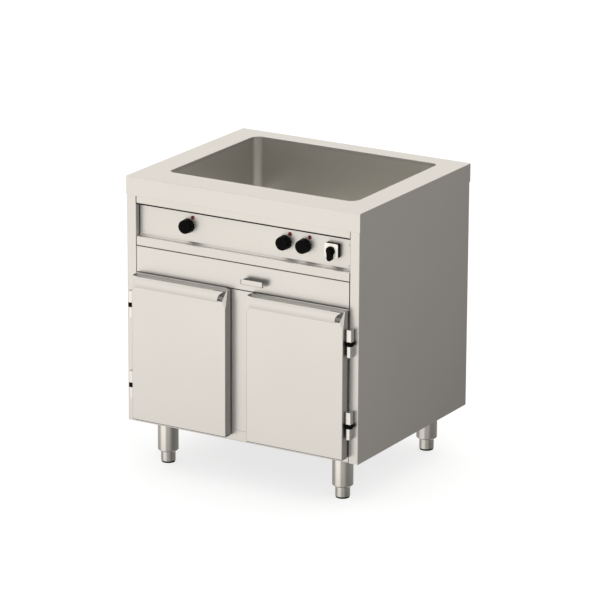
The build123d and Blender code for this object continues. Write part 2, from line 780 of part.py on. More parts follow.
def make_door_pan():
    """Inner sheet of the right door, its middle raised inside the gasket."""
    left, right = door_spacing / 2, x_door
    inset = sheet + seam
    pan = block((left + inset, right - inset), (y_door_back - sheet, y_door_back),
                (z_door + inset, z_door_top - inset))
    step = gasket_inset + gasket_width + pan_plug_gap
    face = Pos((left + right) / 2, (z_door + z_door_top) / 2) * RectangleRounded(
        right - left - 2 * step, z_door_top - z_door - 2 * step, pan_plug_round)
    hollow = offset(face, -sheet)
    pan += along_y(face, (y_door_back - sheet, y_door_back + pan_plug))
    return pan - along_y(hollow, (y_door_back - sheet, y_door_back + pan_plug - sheet))


def make_door_gasket():
    """Frame of rubber on the right door's inner pan."""
    left, right = door_spacing / 2 + gasket_inset, x_door - gasket_inset
    low, high = z_door + gasket_inset, z_door_top - gasket_inset
    span = (y_door_back, y_frame - run_gap)
    inner = gasket_width
    ring = block((left, right), span, (low, high))
    return ring - block((left + inner, right - inner), span, (low + inner, high - inner))


def make_door_leaf(foot):
    """Upper leaf of a hinge, with an arm to the right door's edge, round at the back to turn."""
    x, y = hinge_axis
    swing = hinge_standoff - run_gap
    front = y - leaf_front
    start = (x + door_leaf_reach, y + sqrt(swing**2 - door_leaf_reach**2))
    edges = [RadiusArc(start, (x, y + swing), -swing),
             Polyline((x, y + swing), (x_door, y + swing), (x_door, y), (x - door_leaf_reach, y),
                      (x - door_leaf_reach, front), (x + door_leaf_reach, front), start)]
    low = foot + frame_leaf_height + bush_height + run_gap
    leaf = along_z(make_face(edges), (low, foot + hinge_height))
    leaf = fillet(leaf.edges().filter_by(Axis.Z).group_by(Axis.Y)[0], leaf_round)
    bore = (low, low + pin_depth)
    return leaf - rod(pin_radius + pin_gap, bore, "z", hinge_axis)


def make_frame_leaf(foot):
    """Lower leaf of a hinge, on the right stile."""
    x, y = hinge_axis
    top = foot + frame_leaf_height
    leaf = block((x - frame_leaf_reach, x + frame_leaf_reach), (y - leaf_front, y_frame), (foot, top))
    leaf = fillet(leaf.edges().filter_by(Axis.Z).group_by(Axis.Y)[0], leaf_round)
    return leaf - rod(pin_radius, (top - pin_depth, top), "z", hinge_axis)


def make_hinge_bush(foot):
    low = foot + frame_leaf_height
    span = (low, low + bush_height)
    return rod(bush_radius, span, "z", hinge_axis) - rod(pin_radius, span, "z", hinge_axis)


def make_hinge_pin(foot):
    low = foot + frame_leaf_height - pin_depth
    high = foot + frame_leaf_height + bush_height + pin_depth
    return rod(pin_radius, (low, high), "z", hinge_axis)


def make_drain_fitting():
    """Flanged outlet through the tank's floor, its top drilled as a strainer."""
    spot = (drain_x, y_drain)
    bottom = z_tank_under - drain_tail
    top = z_tank_floor + drain_flange
    plate = (top - strainer_depth, top)
    body = rod(drain_flange_radius, (z_tank_floor, top), "z", spot)
    body += rod(drain_tail_radius, (bottom, z_tank_floor), "z", spot)
    body -= rod(pipe_radius - pipe_wall, (bottom, plate[0]), "z", spot)
    for ring in range(strainer_rings + 1):
        count = max(1, strainer_spokes * ring)
        for step in range(count):
            angle = 2 * pi * step / count
            reach = ring * strainer_pitch
            hole = (drain_x + reach * cos(angle), y_drain + reach * sin(angle))
            body -= rod(strainer_hole, plate, "z", hole)
    return body - rod(pipe_radius, (bottom, bottom + pipe_insert), "z", spot)


def make_drain_nut():
    spot = (drain_x, y_drain)
    span = (z_tank_under - drain_nut, z_tank_under)
    return hexagon(drain_nut_radius, span, spot) - rod(drain_tail_radius, span, "z", spot)


def make_drain_pipes():
    """Pipe from the tank to the valve, and the tail from the valve to its hose end."""
    spot = (drain_x, y_drain)
    end = leg_height - outlet_drop
    upper = rod(pipe_radius, (z_valve + valve_half - pipe_insert,
                              z_tank_under - drain_tail + pipe_insert), "z", spot)
    lower = rod(pipe_radius, (end, z_valve - valve_half + pipe_insert), "z", spot)
    lower += rod(outlet_radius, (end, end + outlet_length), "z", spot)
    bore = rod(pipe_radius - pipe_wall, (end, z_tank_under), "z", spot)
    return upper - bore, lower - bore


def make_valve_body():
    """Closed ball valve: round middle, hexagonal ends with sockets, stem seat in front."""
    spot = (drain_x, y_drain)
    span = (z_valve - valve_half, z_valve + valve_half)
    body = hexagon(valve_end_radius, span, spot)
    body += Pos(drain_x, y_drain, z_valve) * Sphere(valve_radius)
    body -= rod(pipe_radius, (span[0], span[0] + pipe_insert), "z", spot)
    body -= rod(pipe_radius, (span[1] - pipe_insert, span[1]), "z", spot)
    front = y_drain - valve_radius
    seat = rod(valve_stem_radius + pin_gap, (front, front + valve_stem_seat - run_gap), "y",
               (drain_x, z_valve))
    return body - seat


def make_valve_lever():
    """Flat lever across the pipe, on a stem in the valve's front."""
    front = y_drain - valve_radius
    stem = rod(valve_stem_radius, (front - lever_depth, front + valve_stem_seat - 2 * run_gap), "y",
               (drain_x, z_valve))
    reach = lever_length - lever_width / 2
    slot = Pos(drain_x + reach / 2, z_valve) * SlotCenterToCenter(reach, lever_width)
    return stem + along_y(slot, (front - 2 * lever_depth, front - lever_depth))


def make_gland():
    """Cable gland through the base panel, with its cap below."""
    spot = (gland_x, y_rear - gland_back)
    gland = rod(gland_thread_radius, (leg_height, leg_height + gland_thread), "z", spot)
    gland += hexagon(gland_hex_radius, (leg_height - gland_hex, leg_height), spot)
    cap_bottom = leg_height - gland_hex - gland_cap
    cap = rod(gland_cap_radius, (cap_bottom, leg_height - gland_hex), "z", spot)
    gland += fillet(cap.edges().group_by(Axis.Z)[0], gland_cap_radius - gland_bore - sheet)
    return gland - rod(gland_bore, (cap_bottom, leg_height + gland_thread), "z", spot)


def make_terminal_block():
    """Supply terminals on the back panel, inside the wall."""
    wide, deep, tall = terminal_size
    back = y_rear - 2 * sheet
    low = leg_height + terminal_lift
    return block((gland_x - wide / 2, gland_x + wide / 2), (back - deep, back), (low, low + tall))


def make_leg_sleeve(spot):
    """Tube with a stud on top and a guide for the foot in its mouth."""
    guide = foot_radius + pin_gap
    wall = sleeve_radius - sleeve_wall
    under = leg_height - sleeve_plate
    sleeve = turned([(0, leg_height), (sleeve_radius, leg_height),
                     (sleeve_radius, foot_reach + sleeve_chamfer),
                     (sleeve_radius - sleeve_chamfer, foot_reach), (guide, foot_reach),
                     (guide, foot_reach + sleeve_bush), (wall, foot_reach + sleeve_bush),
                     (wall, under), (0, under)])
    sleeve += rod(stud_radius, (leg_height, leg_height + stud_length), "z", (0, 0))
    return Pos(*spot, 0) * sleeve


def make_leg_nut(spot):
    low = leg_height + sheet
    span = (low, low + nut_depth)
    return hexagon(nut_radius, span, spot) - rod(stud_radius, span, "z", spot)


def make_foot(spot):
    """Hollow levelling foot that slides in the sleeve's guide."""
    top = foot_reach + foot_engage
    bore = foot_radius - foot_wall
    foot = turned([(0, pad_depth), (foot_radius, pad_depth), (foot_radius, top), (bore, top),
                   (bore, pad_depth + foot_wall), (0, pad_depth + foot_wall)])
    foot = fillet(foot.edges().group_by(Axis.Z)[0], foot_round)
    return Pos(*spot, 0) * foot


def make_foot_pad(spot):
    return rod(pad_radius, (0, pad_depth), "z", spot)


os.makedirs("parts", exist_ok=True)

# Cabinet
save("worktop", make_worktop())
save("tank", make_tank())
side_panel = make_side_panel()
save("right_side_panel", side_panel)
save("left_side_panel", mirrored(side_panel))
save("back_panel", make_back_panel())
save("base_panel", make_base_panel())
save("floor_panel", make_floor_panel())
save("ceiling_panel", make_ceiling_panel())
save("mullion", make_mullion())
save("cabinet_liner", make_liner())
save("shelf", make_shelf())
bracket = make_shelf_bracket()
save("shelf_brackets", bracket, mirrored(bracket))
save("cabinet_heater", make_cabinet_heater())
save("heater_cover", make_heater_cover())
save("bay_shield", make_shield())
save("tank_heaters", *make_tank_heaters())

# Controls
save("control_fascia", make_fascia())
save("thermostats", *[make_thermostat(x) for x in knob_x])
save("pilot_lamps", *[make_lamp(x) for x in knob_x])
save("switch_base", make_switch_base())
save("switch_plate", make_switch_plate())
save("switch_body", make_switch_body())
save("switch_handle", make_switch_handle())
for name, x in zip(("cabinet_knob", "tank_left_knob", "tank_right_knob"), knob_x):
    save(name, make_knob(x))

# Drawer
save("drawer_front", make_drawer_front())
save("drawer_pull", make_drawer_pull())
save("drawer_tray", make_drawer_tray())
slide = make_drawer_slide()
save("drawer_slides", slide, mirrored(slide))
runner = make_drawer_runner()
save("drawer_runners", runner, mirrored(runner))

# Doors and hinges
door_skin = make_door_skin()
save("right_door_skin", door_skin)
save("left_door_skin", Pos(-door_spacing / 2 - x_door, 0, 0) * door_skin)
door_leaves = [make_door_leaf(foot) for foot in hinge_feet]
door_pieces = {"door_pan": [make_door_pan()], "door_gasket": [make_door_gasket()],
               "door_hinge_leaves": door_leaves}
for name, pieces in door_pieces.items():
    save(f"right_{name}", *pieces)
    save(f"left_{name}", *[mirrored(piece) for piece in pieces])
hinge_pieces = {"hinge_frame_leaves": make_frame_leaf, "hinge_bushes": make_hinge_bush,
                "hinge_pins": make_hinge_pin}
for name, make in hinge_pieces.items():
    pieces = [make(foot) for foot in hinge_feet]
    save(name, *pieces, *[mirrored(piece) for piece in pieces])

# Drain and supply
save("drain_fitting", make_drain_fitting())
save("drain_nut", make_drain_nut())
save("drain_pipes", *make_drain_pipes())
save("drain_valve_body", make_valve_body())
save("drain_valve_lever", make_valve_lever())
save("cable_gland", make_gland())
save("terminal_block", make_terminal_block())

# Legs
save("leg_sleeves", *[make_leg_sleeve(spot) for spot in leg_spots])
save("leg_nuts", *[make_leg_nut(spot) for spot in leg_spots])
leg_names = ("front_left", "back_left", "front_right", "back_right")
for name, spot in zip(leg_names, leg_spots):
    save(f"{name}_foot", make_foot(spot))
    save(f"{name}_pad", make_foot_pad(spot))
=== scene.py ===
"""Looks of the bain-marie: steel, plastic and rubber finishes, small fasteners, studio and camera."""
import json
import math

import bmesh
import bpy
from mathutils import Matrix, Vector


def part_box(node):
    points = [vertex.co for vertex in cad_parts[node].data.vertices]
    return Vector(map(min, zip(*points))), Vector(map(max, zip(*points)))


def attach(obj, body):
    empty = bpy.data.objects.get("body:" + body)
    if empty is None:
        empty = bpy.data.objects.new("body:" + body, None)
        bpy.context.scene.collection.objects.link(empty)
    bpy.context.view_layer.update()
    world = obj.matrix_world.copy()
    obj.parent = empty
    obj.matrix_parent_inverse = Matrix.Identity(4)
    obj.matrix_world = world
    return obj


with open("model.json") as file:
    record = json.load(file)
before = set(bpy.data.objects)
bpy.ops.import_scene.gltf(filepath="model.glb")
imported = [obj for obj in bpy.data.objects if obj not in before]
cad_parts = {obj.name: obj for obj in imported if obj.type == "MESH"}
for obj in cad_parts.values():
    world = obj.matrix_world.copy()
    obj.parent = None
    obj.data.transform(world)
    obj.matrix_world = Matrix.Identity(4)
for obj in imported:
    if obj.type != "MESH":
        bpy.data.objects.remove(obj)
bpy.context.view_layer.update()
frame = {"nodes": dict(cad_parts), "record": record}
ALL_AXES = Vector((1, 1, 1))
WHITE = (1, 1, 1, 1)

# Camera, as the photograph was taken
CAMERA_AZIMUTH = math.radians(30.7489)
CAMERA_ELEVATION = math.radians(16.9255)
CAMERA_ROLL = math.radians(0.2776)
CAMERA_PLACE = Vector((5.89946, -9.89280, 4.00135))
FOCAL_PIXELS = 4012.62
IMAGE_PIXELS = 600
SENSOR_MM = 36.0

# Studio: light levels by direction, and spans of a unit direction's parts over which they change
LIGHT_COLOUR = (1.0, 0.945, 0.86, 1)
KEY_AZIMUTH = math.radians(-27)
KEY_INNER = math.radians(16)
KEY_OUTER = math.radians(42)
KEY_LEVEL = 1.84
UNDER_LEVEL = 1.80
UNDER_SPAN = (-0.42, -0.18)
NADIR_LEVEL = 0.2
NADIR_SPAN = (-0.98, -0.82)
AHEAD_LEVEL = 1.60
BEHIND_LEVEL = 1.37
AHEAD_SPAN = (-0.5, 0.5)
CROWN_LEVEL = 1.6
CROWN_SPAN = (0.35, 0.7)
LEFT_LEVEL = 0.85
SIDE_SPAN = (-0.6, 0.4)
RIGHT_FRONT_LEVEL = 0.82
RIGHT_FRONT_SPAN = (0.25, 0.85)
RIGHT_LEVEL = 0.39
RIGHT_BACK_LEVEL = 0.48
RIGHT_BACK_SPAN = (-0.6, -0.1)
FILL_WAY = (-0.35, 0.94, 0)
FILL_INNER = math.radians(15)
FILL_OUTER = math.radians(38)
FILL_LEVEL = 1.0
HORIZON_SPAN = (-0.10, 0.10)

# Floor, and the shade that reflections see on it: spans in metres, levels as shares of the light
FLOOR_COLOUR = (0.20, 0.21, 0.23, 1)
FLOOR_GLOW = 0.74
FLOOR_ROUGHNESS = 0.9
FLOOR_CORNERS = [(-20, -20, 0), (20, -20, 0), (20, 20, 0), (-20, 20, 0)]
FOOTPRINT = (0.40, 0.35, 0)
SHADE_NEAR = 0.85
NEAR_SPAN = (0.0, 1.7)
SHADE_SIDE = 0.58
CLEAR_SIDE = 1.05
ASIDE_WAY = (0.40, -0.16, 0)
ASIDE_SPAN = (0.0, 0.45)
FRONT_SPAN = (-0.6, -0.2)

# Colours, linear
FRONT_STEEL = (0.46, 0.46, 0.462)
FASCIA_STEEL = (0.49, 0.49, 0.49)
# Tank's steel: a separately toned copy of the sheet steel, which paints the shade inside the tank
TANK_STEEL_PAINTED_SHADE = (0.52, 0.517, 0.499)
BRIGHT_STEEL = (0.53, 0.535, 0.54)
LEG_STEEL = (0.56, 0.56, 0.56)
COVE_STEEL = (0.48, 0.48, 0.48)
RUBBER_BLACK = (0.006, 0.006, 0.006)
PLASTIC_BLACK = (0.002, 0.002, 0.0022)
PLASTIC_WHITE = (0.94, 0.94, 0.92)
LENS_RED = (0.16, 0.004, 0.010)
LEVER_RED = (0.45, 0.02, 0.02)
BRASS = (0.66, 0.50, 0.24)
MAT_BROWN = (0.30, 0.08, 0.04)
TUBE_GREY = (0.25, 0.24, 0.23)

# Texture cells per metre, and the values that the noise mostly keeps between
GRAIN = {"x": (3.0, 900.0, 900.0), "z": (900.0, 900.0, 3.0)}
TURNING_MARKS = (30.0, 30.0, 1400.0)
CLOUDS = 4.0 * ALL_AXES
PLASTIC_CLOUDS = 60.0 * ALL_AXES
METAL_MOTTLE = 250.0 * ALL_AXES
LENS_MOTTLE = 400.0 * ALL_AXES
NOISE_SPAN = (0.3, 0.7)

# Dark lines at edges, in metres, and their shares of the steel's colour: painted shade along folded feet
# and along the pull's cut ends, and a darker rim at the feet's lower edges
FOLD_LINE = 0.0025
FOLD_PAINTED_SHADE = 0.15
FOOT_RIM = 0.0023
RIM_SHADE = 0.08
CUT_LINE = 0.0022
CUT_DEPTH = 0.0008
CUT_PAINTED_SHADE = 0.2

# Door: finger channel behind the lip, its open end and the leaning corner, from the skin's box; painted
# shade in the channel and at its open end, painted light deep in the channel and on the corner
CHANNEL_INSET = 0.002
CHANNEL_FRONT = 0.0155
CHANNEL_DEPTH = 0.036
CHANNEL_PAINTED_SHADE = 0.82
DEEP_DROP = 0.0045
DEEP_PAINTED_LIGHT = 1.4
OPEN_FAR = 0.055
OPEN_NEAR = 0.010
OPEN_RISE = 0.009
OPEN_DROP = 0.0085
OPEN_PAINTED_SHADE = 0.4
CORNER_WIDTH = 0.027
CORNER_START = 0.0034
CORNER_END = 0.011
CORNER_FOOT = 0.058
CORNER_TOP = 0.003
CORNER_PAINTED_LIGHT = 1.25

# Control panel: sizes of its recess and ends, the places that follow from its box, and the zone of painted
# light on its ledge
fascia_low, fascia_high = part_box("control_fascia")
RECESS_DEPTH = 0.0190
RECESS_HEIGHT = 0.1020
LOWER_RAIL = 0.0275
END_INSET = 0.0003
SEAM_OFFSET = 0.0001
RAIL_FRONT = fascia_low[1]
PANEL_FRONT = RAIL_FRONT + RECESS_DEPTH
PANEL_END = fascia_high[0] - END_INSET
SEAM_END = fascia_high[0] + SEAM_OFFSET
RAIL_FOOT = fascia_low[2]
LEDGE = RAIL_FOOT + LOWER_RAIL
RECESS_TOP = LEDGE + RECESS_HEIGHT
LEDGE_EDGE = 0.0008
LEDGE_UNDER = 0.0012
LEDGE_OVER = 0.0010
LEDGE_PAINTED_LIGHT = 2.0

# Black strips: half width and bulge of each, and how far the hanging one sits behind the rail's front; the
# hanging strip and the one under the skirt are dark things that stand for painted shade, the others seal
# the seams
HANGING_SHADE_STRIP = (0.0020, 0.0040)
HANG_BACK = 0.0030
PANEL_SEAL = (0.0012, 0.0010)
RAIL_SEAL = (0.0012, 0.0004)
TOP_SEAL = (0.0014, 0.0004)
SKIRT_SHADE_STRIP = (0.0005, 0.00025)
SKIRT_SHADE_STRIP_BACK = 0.00065
SKIRT_SHADE_STRIP_INSET = 0.002
SEAL_STEPS = 8

# Cove between control panel and ledge: distances from the corner
COVE_REACH = 0.0085
COVE_FLANK = 0.0065
COVE_HOLLOW = 0.0007
COVE_SEAT = 0.0001
COVE_INSET = 0.002

# Drawer's pull, the painted light in the trough behind its plate, and the web at its left end
PULL_PLATE = 0.003
TROUGH_PAINTED_LIGHT = 1.4
PULL_SHEET = 0.0012
WEB_SEAT = 0.0002
WEB_DROP = 0.0030
WEB_HOLLOW = 0.0012
WEB_STEPS = 12

# Screw heads: rings as shares of radius and height, sizes, and places
HEAD_RINGS = ((1.0, 0.0), (1.0, 0.35), (0.88, 0.75), (0.68, 1.0))
HEAD_SIDES = 24
HEAD_HEIGHT = 0.0013
SOCKET_SIZE = 0.45
SOCKET_FLOOR = 0.45
PANEL_SCREW_RADIUS = 0.0026
PANEL_SCREW_INSET = 0.0130
PANEL_SCREW_LIFTS = (0.0145, 0.0779)
BACK_SCREW_RADIUS = 0.0040
BACK_SCREW_INSET = 0.012
BACK_SCREW_END = 0.02
BACK_SCREW_COUNT = 5


class Nodes:
    """Node tree of a material or of the world, with short names for the sums in it."""

    def __init__(self, owner):
        owner.use_nodes = True
        self.tree = owner.node_tree

    def feed(self, socket, value):
        """Link a node's output to a socket, or set a constant on it."""
        if isinstance(value, bpy.types.NodeSocket):
            self.tree.links.new(value, socket)
        else:
            socket.default_value = value

    def operate(self, kind, operation, values):
        """Outputs of a new node that does an operation on values."""
        node = self.tree.nodes.new(kind)
        node.operation = operation
        for socket, value in zip(node.inputs, values):
            self.feed(socket, value)
        return node.outputs

    def number(self, operation, *values):
        """Number from numbers."""
        return self.operate("ShaderNodeMath", operation, values)["Value"]

    def vector(self, operation, *values):
        """Vector from vectors."""
        return self.operate("ShaderNodeVectorMath", operation, values)["Vector"]

    def measure(self, operation, *values):
        """Number from vectors, such as the length of one."""
        return self.operate("ShaderNodeVectorMath", operation, values)["Value"]

    def ramp(self, value, span, low, high, course="SMOOTHSTEP"):
        """Change from low to high while a value goes through a span."""
        node = self.tree.nodes.new("ShaderNodeMapRange")
        node.interpolation_type = course
        for name, number in (("Value", value), ("From Min", span[0]), ("From Max", span[1]),
                             ("To Min", low), ("To Max", high)):
            self.feed(node.inputs[name], number)
        return node.outputs["Result"]

    def shown(self):
        """1 where the camera looks, straight or through something clear, and 0 for other rays."""
        path = self.tree.nodes.new("ShaderNodeLightPath").outputs
        return self.number("MAXIMUM", path["Is Camera Ray"], path["Is Transmission Ray"])


class Shader(Nodes):
    """Surface of a new material, with textures in the object's own coordinates."""

    def __init__(self, name):
        self.material = bpy.data.materials.new(name)
        super().__init__(self.material)
        self.surface = self.tree.nodes["Principled BSDF"]
        self.place = self.tree.nodes.new("ShaderNodeTexCoord").outputs["Object"]

    def set(self, **values):
        """Feed the surface's sockets, with _ for each space in their names."""
        for name, value in values.items():
            self.feed(self.surface.inputs[name.replace("_", " ")], value)

    def noise(self, cells, detail=2.0):
        """Noise of 0 to 1 with a number of cells per metre along each axis."""
        mapping = self.tree.nodes.new("ShaderNodeMapping")
        self.feed(mapping.inputs["Scale"], cells)
        self.feed(mapping.inputs["Vector"], self.place)
        texture = self.tree.nodes.new("ShaderNodeTexNoise")
        self.feed(texture.inputs["Scale"], 1.0)
        self.feed(texture.inputs["Detail"], detail)
        self.feed(texture.inputs["Vector"], mapping.outputs["Vector"])
        return texture.outputs["Fac"]

    def spread(self, noise, middle, reach):
        """Noise stretched to run from a reach below a middle to a reach above it."""
        return self.ramp(noise, NOISE_SPAN, middle - reach, middle + reach, "LINEAR")

    def product(self, first, second):
        return self.number("MULTIPLY", first, second)

    def zone(self, low, high, factor):
        """A factor inside a box of the object, and 1 outside it."""
        middle = (Vector(low) + Vector(high)) / 2
        half = Vector(high) - middle
        axes = self.tree.nodes.new("ShaderNodeSeparateXYZ")
        self.feed(axes.inputs["Vector"], self.vector("SUBTRACT", self.place, middle))
        near = [self.number("COMPARE", axes.outputs[axis], 0.0, half[axis]) for axis in range(3)]
        inside = self.product(self.product(near[0], near[1]), near[2])
        return self.ramp(inside, (0.0, 1.0), 1.0, factor, "LINEAR")

    def tinted(self, colour, shade, zones=()):
        """The colour made lighter or darker by a shade near 1 and by the factors of zones."""
        for low, high, factor in zones:
            shade = self.product(shade, self.zone(low, high, factor))
        scale = self.tree.nodes.new("ShaderNodeVectorMath")
        scale.operation = "SCALE"
        self.feed(scale.inputs["Vector"], colour)
        self.feed(scale.inputs["Scale"], shade)
        return scale.outputs["Vector"]

    def bump(self, height, strength, depth=0.0002):
        node = self.tree.nodes.new("ShaderNodeBump")
        self.feed(node.inputs["Strength"], strength)
        self.feed(node.inputs["Distance"], depth)
        self.feed(node.inputs["Height"], height)
        self.set(Normal=node.outputs["Normal"])


def brushed_steel(name, colour, along, roughness=0.34, zones=(), matt=None):
    """Stainless sheet with fine grain along one axis and faint broad unevenness."""
    shader = Shader(name)
    grain = shader.noise(GRAIN[along])
    broad = shader.noise(CLOUDS)
    shade = shader.product(shader.spread(grain, 1.0, reach=0.008), shader.spread(broad, 1.0, reach=0.012))
    shader.set(Metallic=shader.zone(*matt, 0.0) if matt else 1.0,
               Base_Color=shader.tinted(colour, shade, zones),
               Roughness=shader.spread(grain, roughness, reach=0.02))
    shader.bump(grain, strength=0.006)
    return shader.material


def turned_steel(name, zones=()):
    """Satin steel of the legs, with fine level turning marks."""
    shader = Shader(name)
    marks = shader.noise(TURNING_MARKS)
    shader.set(Metallic=1.0,
               Base_Color=shader.tinted(LEG_STEEL, shader.spread(marks, 1.0, reach=0.05), zones),
               Roughness=shader.spread(marks, middle=0.16, reach=0.06))
    shader.bump(marks, strength=0.06)
    return shader.material


def moulded(name, colour, roughness, grain=2500.0, strength=0.15, specular=0.5):
    """Moulded plastic or rubber with a fine grain."""
    shader = Shader(name)
    cells = shader.noise(grain * ALL_AXES)
    broad = shader.noise(PLASTIC_CLOUDS)
    shader.set(Specular_IOR_Level=specular,
               Base_Color=shader.tinted(colour, shader.spread(broad, 1.0, reach=0.08)),
               Roughness=shader.spread(cells, roughness, reach=0.06))
    shader.bump(cells, strength)
    return shader.material


def metal(name, colour, roughness):
    """Plain cast or drawn metal with a slight mottle."""
    shader = Shader(name)
    mottle = shader.noise(METAL_MOTTLE, detail=3.0)
    shader.set(Metallic=1.0,
               Base_Color=shader.tinted(colour, shader.spread(mottle, 1.0, reach=0.06)),
               Roughness=shader.spread(mottle, roughness, reach=0.06))
    shader.bump(mottle, strength=0.08, depth=0.0003)
    return shader.material


def lamp_lens(name):
    """Red lens, glossy."""
    shader = Shader(name)
    mottle = shader.noise(LENS_MOTTLE)
    shader.set(Specular_IOR_Level=0.25,
               Base_Color=shader.tinted(LENS_RED, shader.spread(mottle, 1.0, reach=0.1)),
               Roughness=shader.spread(mottle, middle=0.17, reach=0.05))
    return shader.material


def edge_zone(nodes, line, shade):
    """Dark line of a height along the lower edges of some nodes."""
    boxes = [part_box(node) for node in nodes]
    low = Vector([min(box[0][axis] for box in boxes) for axis in range(3)])
    right, back = [max(box[1][axis] for box in boxes) for axis in range(2)]
    margin = line * ALL_AXES
    return low - margin, Vector((right, back, low[2])) + margin, shade


def door_steel(name, node):
    """Door sheet: matt in the finger channel, with painted shade in the channel, at its open end and along
    the foot, and painted light deep in the channel and on the leaning corner.
    """
    low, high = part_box(node)
    left, right = low[0] + CHANNEL_INSET, high[0] - CHANNEL_INSET
    front, back = low[1] + CHANNEL_FRONT, high[1]
    crease, top = high[2] - CHANNEL_DEPTH, high[2]
    channel = ((left, front, crease), (right, back, top))
    deep = ((left, front, crease), (right, back, top - DEEP_DROP))
    open_end = ((right - OPEN_FAR, front, crease + OPEN_RISE), (right - OPEN_NEAR, back, top - OPEN_DROP))
    corner = ((low[0] - CHANNEL_INSET, low[1] + CORNER_START, top - CORNER_FOOT),
              (low[0] + CORNER_WIDTH, low[1] + CORNER_END, top - CORNER_TOP))
    # Painted shade and painted light, as zones that scale the door's colour
    zones = [(*channel, CHANNEL_PAINTED_SHADE), (*deep, DEEP_PAINTED_LIGHT), (*open_end, OPEN_PAINTED_SHADE),
             (*corner, CORNER_PAINTED_LIGHT), edge_zone([node], FOLD_LINE, FOLD_PAINTED_SHADE)]
    return brushed_steel(name, FRONT_STEEL, "z", zones=zones, matt=channel)


def pull_steel(name):
    """Pull's sheet, with painted shade along its cut ends, and blasted matt with painted light in the
    trough behind its plate.
    """
    low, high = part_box("drawer_pull")
    margin = CUT_LINE * ALL_AXES
    trough = (low + Vector((-CUT_LINE, PULL_PLATE, -CUT_LINE)), Vector((high[0], high[1], low[2])) + margin)
    # Painted light in the trough, and painted shade along the cut ends below
    zones = [(*trough, TROUGH_PAINTED_LIGHT)]
    for x in (low[0], high[0]):
        zones.append((Vector((x, low[1], low[2])) - margin, (x + CUT_LINE, low[1] + CUT_DEPTH, high[2]),
                      CUT_PAINTED_SHADE))
    return brushed_steel(name, FRONT_STEEL, "x", zones=zones, matt=trough)


def fascia_steel(name):
    """Control panel's sheet, with painted light on its ledge."""
    # Painted light on the ledge
    ledge = ((-PANEL_END, RAIL_FRONT + LEDGE_EDGE, LEDGE - LEDGE_UNDER),
             (PANEL_END, fascia_high[1], LEDGE + LEDGE_OVER), LEDGE_PAINTED_LIGHT)
    return brushed_steel(name, FASCIA_STEEL, "x", roughness=0.44, zones=[ledge])


def make_finishes():
    """Materials by material slot, and by node where one node differs from its slot."""
    made = {
        "stainless": brushed_steel("steel_along_x", FRONT_STEEL, "x"),
        # Painted shade: the tank's inside uses its own tone of the sheet steel
        "stainless_inside": brushed_steel("steel_inside_painted_shade", TANK_STEEL_PAINTED_SHADE, "x"),
        "hinge_steel": metal("hinge_metal", BRIGHT_STEEL, roughness=0.3),
        "leg_steel": turned_steel("leg_metal"),
        "black_rubber": moulded("rubber", RUBBER_BLACK, roughness=0.7, grain=1500.0, strength=0.2,
                                specular=0.12),
        "black_plastic": moulded("black_plastic", PLASTIC_BLACK, roughness=0.38, strength=0.1,
                                 specular=0.03),
        "white_plastic": moulded("white_plastic", PLASTIC_WHITE, roughness=0.25, strength=0.03,
                                 specular=1.0),
        "red_lens": lamp_lens("lamp_lens"),
        "drain_brass": metal("brass", BRASS, roughness=0.32),
        "red_lever": moulded("lever_paint", LEVER_RED, roughness=0.3, grain=1200.0, strength=0.05),
        "heater_mat": moulded("heater_mat", MAT_BROWN, roughness=0.6, grain=600.0, strength=0.3),
        "heater_tube": metal("heater_tube", TUBE_GREY, roughness=0.4),
        "control_fascia": fascia_steel("fascia_steel"),
        # Painted shade along the base panel's folded foot
        "base_panel": brushed_steel("base_steel", FRONT_STEEL, "x",
                                    zones=[edge_zone(["base_panel"], FOLD_LINE, FOLD_PAINTED_SHADE)]),
        "drawer_pull": pull_steel("pull_steel"),
    }
    upright = brushed_steel("steel_along_z", FRONT_STEEL, "z")
    for node in ("left_side_panel", "right_side_panel", "left_door_pan", "right_door_pan", "mullion",
                 "back_panel"):
        made[node] = upright
    for node in ("left_door_skin", "right_door_skin"):
        made[node] = door_steel(node + "_steel", node)
    feet = [end + side + "foot" for end in ("front_", "back_") for side in ("left_", "right_")]
    made.update(dict.fromkeys(feet, turned_steel("foot_metal", [edge_zone(feet, FOOT_RIM, RIM_SHADE)])))
    return made


def dress_nodes():
    """Give every CAD node its finish."""
    for subpart in frame["record"]["subparts"]:
        materials = frame["nodes"][subpart["node"]].data.materials
        materials.clear()
        materials.append(finishes.get(subpart["node"], finishes[subpart["material_slot"]]))


def mesh_piece(name, points, faces, slot, body="carcass"):
    """New piece on a body with the finish of a material slot."""
    mesh = bpy.data.meshes.new(name)
    mesh.from_pydata(points, [], faces)
    outward = bmesh.new()
    outward.from_mesh(mesh)
    bmesh.ops.recalc_face_normals(outward, faces=outward.faces)
    outward.to_mesh(mesh)
    outward.free()
    mesh.materials.append(finishes[slot])
    piece = bpy.data.objects.new(name, mesh)
    bpy.context.scene.collection.objects.link(piece)
    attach(piece, body)
    return piece


def ring_faces(first, second, count):
    """Quads between two rings of points, given the index of each ring's first point."""
    return [(first + i, first + (i + 1) % count, second + (i + 1) % count, second + i)
            for i in range(count)]


def prism(name, outline, start, end, slot, body="carcass"):
    """Outline of points carried from a start to an end, with both ends closed."""
    count = len(outline)
    points = [Vector(base) + Vector(point) for base in (start, end) for point in outline]
    faces = ring_faces(0, count, count)
    faces += [tuple(range(count)), tuple(range(2 * count - 1, count - 1, -1))]
    return mesh_piece(name, points, faces, slot, body)


def bead(name, start, end, across, out):
    """Rubber strip of half-round section: across is its half width, out the way it bulges."""
    turns = [math.pi * i / SEAL_STEPS for i in range(SEAL_STEPS + 1)]
    outline = [Vector(across) * math.cos(turn) + Vector(out) * math.sin(turn) for turn in turns]
    prism(name, outline, start, end, "black_rubber")


